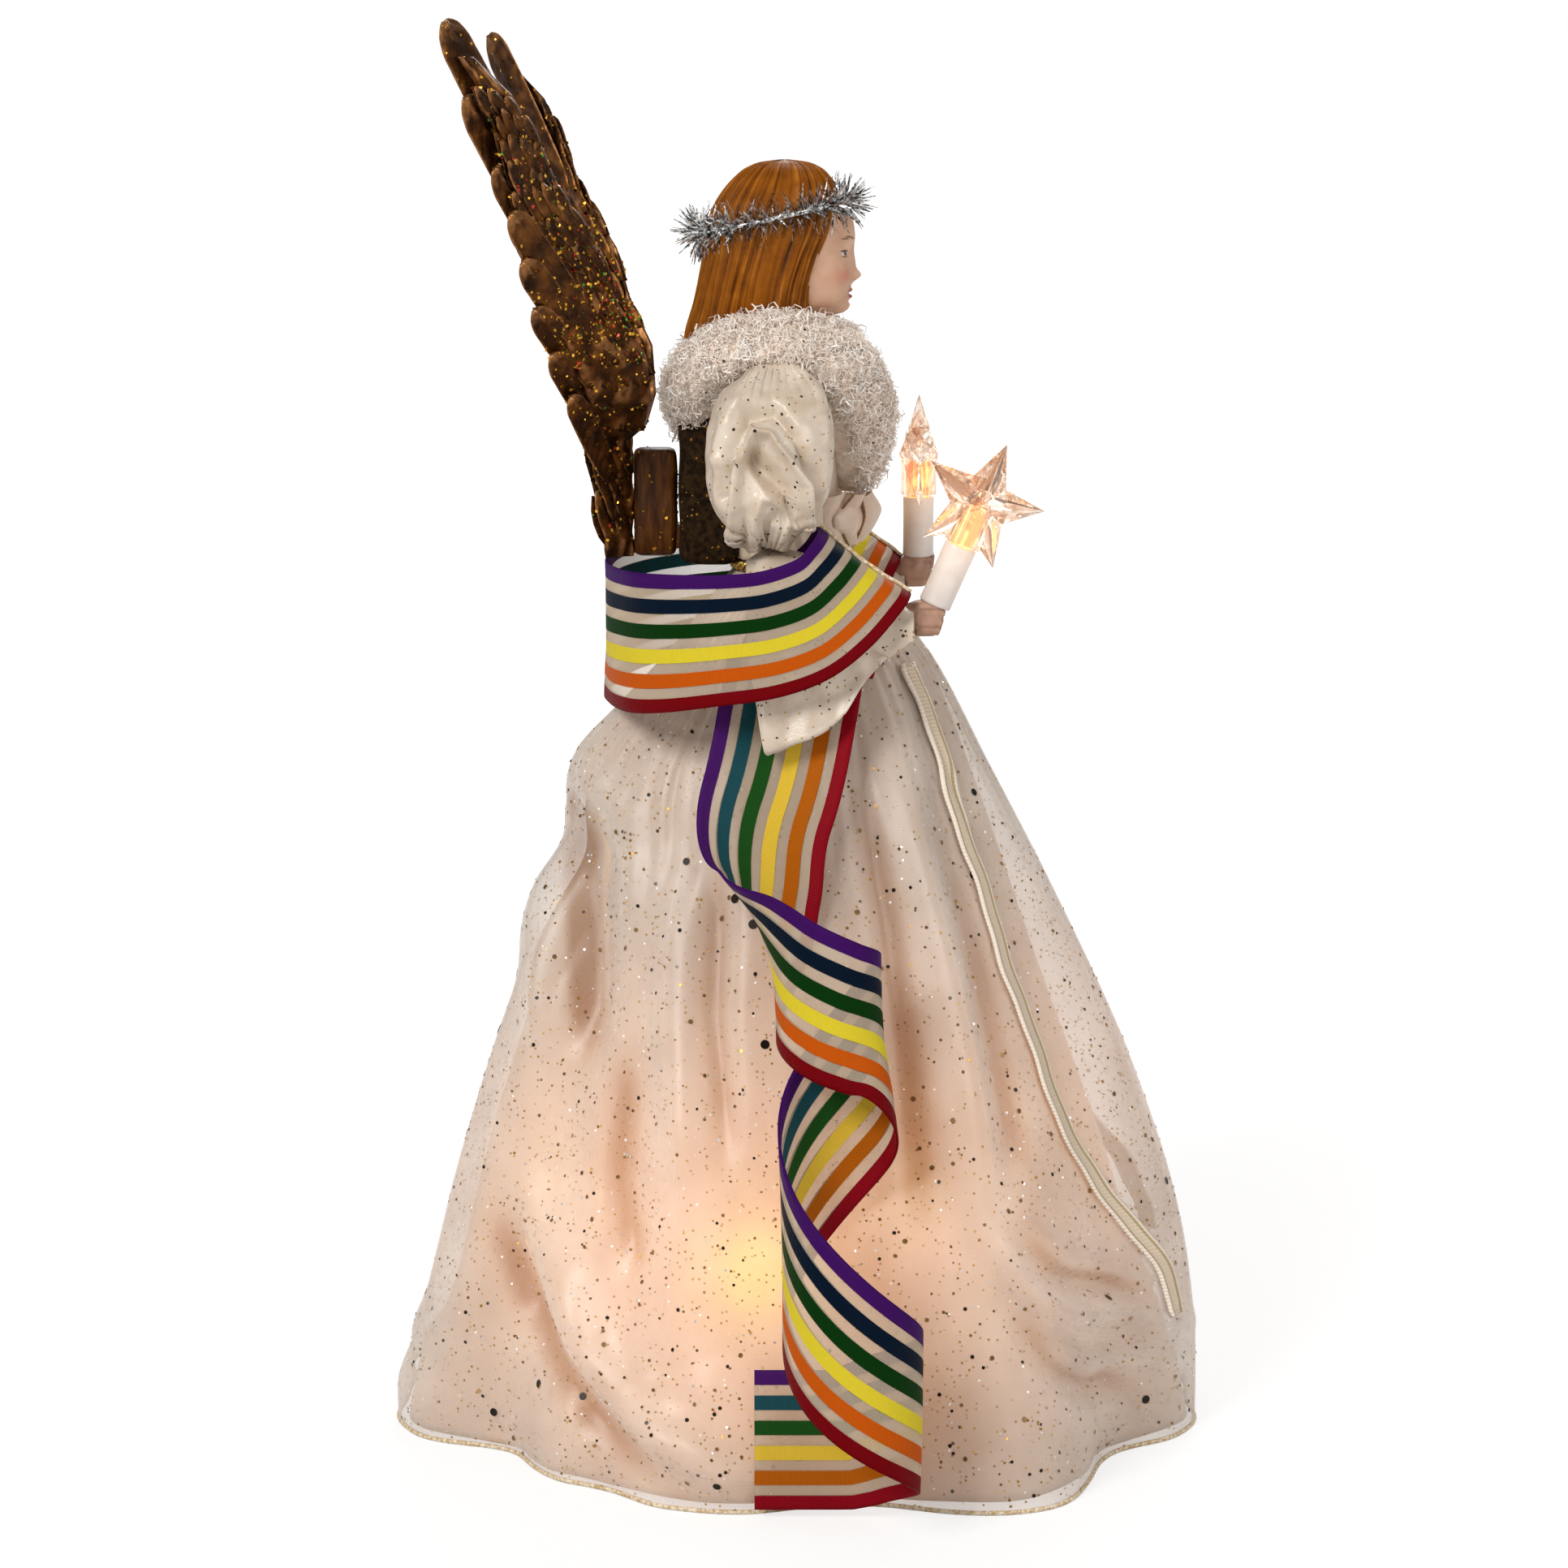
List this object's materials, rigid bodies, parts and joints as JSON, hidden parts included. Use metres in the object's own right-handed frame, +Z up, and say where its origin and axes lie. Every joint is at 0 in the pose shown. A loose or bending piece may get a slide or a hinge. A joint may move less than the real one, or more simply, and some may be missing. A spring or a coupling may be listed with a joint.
{
  "type": "angel tree topper",
  "caption": "Lit angel figure on a hollow cone that sits on the tip of a tree, with plug-in wings, candles with star covers, layered skirt and a striped stole.",
  "frame": {"origin": "on the floor plane under the middle of the skirt, on the cone's axis", "axes": "+Z up along the cone's axis, +X the way the figure faces, +Y its left side"},
  "size_m": [0.179, 0.2146, 0.3055],
  "materials": {
    "cardboard_white": "plain white board, matt",
    "wire_white": "white flexible insulation",
    "holder_green": "dark green moulded lamp holder",
    "bulb_glass": "clear miniature bulb, warm when lit",
    "moulded_white": "white moulded plastic, satin",
    "satin_ivory": "ivory satin, soft sheen",
    "organza_ivory": "sheer ivory organza with gold glitter",
    "piping_ivory": "narrow ivory ribbon with gold thread edges",
    "gold_cord": "twisted gold cord",
    "flesh_paint": "painted resin, matt flesh colour",
    "hair_paint": "painted resin, auburn with combed strands",
    "tinsel_silver": "silver foil tinsel",
    "fur_off_white": "off-white curly pile",
    "star_clear": "clear faceted plastic",
    "wing_bronze": "dark bronze plastic, worn copper edges, fine glitter",
    "ribbon_stripes": "woven ribbon, striped lengthwise in six colours with sheer gaps"
  },
  "bodies": {
    "figure": {"support_cone": "cardboard_white", "cord_grommet": "wire_white", "lamp_holder_right_front": "holder_green", "lamp_bulb_right_front": "bulb_glass", "lamp_holder_left_front": "holder_green", "lamp_bulb_left_front": "bulb_glass", "lamp_holder_right_mid_front": "holder_green", "lamp_bulb_right_mid_front": "bulb_glass", "lamp_holder_left_mid_front": "holder_green", "lamp_bulb_left_mid_front": "bulb_glass", "lamp_holder_right_mid_back": "holder_green", "lamp_bulb_right_mid_back": "bulb_glass", "lamp_holder_left_mid_back": "holder_green", "lamp_bulb_left_mid_back": "bulb_glass", "lamp_holder_right_back": "holder_green", "lamp_bulb_right_back": "bulb_glass", "lamp_holder_left_back": "holder_green", "lamp_bulb_left_back": "bulb_glass", "light_set_wire": "wire_white", "torso_form": "moulded_white", "back_socket": "moulded_white", "satin_bodice": "satin_ivory", "satin_underskirt": "satin_ivory", "organza_overskirt": "organza_ivory", "right_piping": "piping_ivory", "left_piping": "piping_ivory", "waist_cord": "gold_cord", "head": "flesh_paint", "hair": "hair_paint", "tinsel_halo": "tinsel_silver", "right_puff_sleeve": "satin_ivory", "left_puff_sleeve": "satin_ivory", "right_bell_cuff": "satin_ivory", "right_hand": "flesh_paint", "right_candle": "moulded_white", "right_candle_bulb": "bulb_glass", "left_bell_cuff": "satin_ivory", "left_hand": "flesh_paint", "left_candle": "moulded_white", "left_candle_bulb": "bulb_glass", "fur_collar": "fur_off_white", "bodice_ruffle": "satin_ivory", "stole_band": "ribbon_stripes", "right_stole_tail": "ribbon_stripes", "left_stole_tail": "ribbon_stripes"},
    "wings": {"wing_hub": "wing_bronze", "right_wing": "wing_bronze", "left_wing": "wing_bronze"},
    "right_star": {"right_star_cover": "star_clear"},
    "left_star": {"left_star_cover": "star_clear"}
  },
  "joints": [
    {"name": "wings_pull", "type": "slide", "parent": "figure", "child": "wings", "axis": [-1, 0, 0], "range_m": [0, 0.02]},
    {"name": "right_star_pull", "type": "slide", "parent": "figure", "child": "right_star", "axis": [0.4067, 0, 0.9135], "range_m": [0, 0.016]},
    {"name": "left_star_pull", "type": "slide", "parent": "figure", "child": "left_star", "axis": [0, 0, 1], "range_m": [0, 0.016]}
  ]
}
